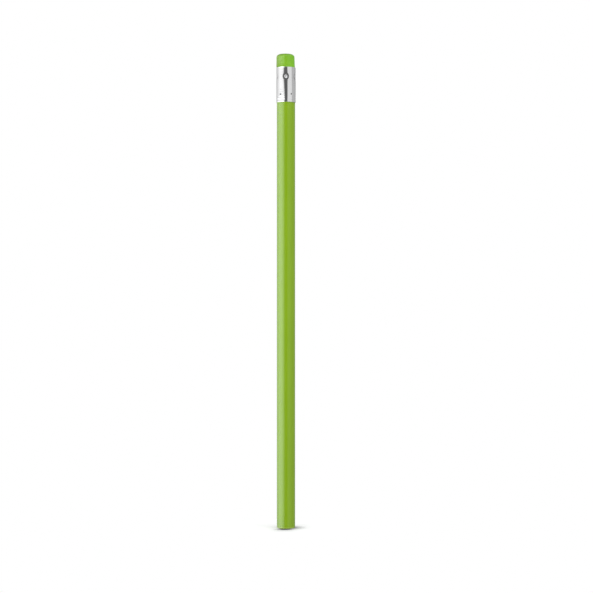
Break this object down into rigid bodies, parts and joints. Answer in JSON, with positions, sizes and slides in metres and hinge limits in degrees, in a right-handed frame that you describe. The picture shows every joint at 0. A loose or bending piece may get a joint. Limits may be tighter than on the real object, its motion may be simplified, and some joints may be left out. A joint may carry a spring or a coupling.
{
  "type": "pencil with eraser",
  "caption": "Unsharpened round wood-cased pencil with a lacquered barrel, a crimped aluminium ferrule and a rubber eraser, for writing and rubbing out.",
  "frame": {"origin": "centre of the flat writing end, on the surface that the pencil stands on", "axes": "+Z along the lead from the writing end to the eraser, -Y to the front where one dimple of the ferrule faces the viewer, +X to the viewer's right"},
  "size_m": [0.0078, 0.0078, 0.19],
  "materials": {
    "casing_wood": "matte",
    "graphite": "satin",
    "lacquer": "satin",
    "ferrule_metal": "gloss",
    "eraser_rubber": "matte"
  },
  "bodies": {
    "root": {"slat_front": "casing_wood", "slat_back": "casing_wood", "graphite_lead": "graphite", "lacquer_coat": "lacquer", "ferrule": "ferrule_metal", "eraser": "eraser_rubber"}
  },
  "joints": []
}
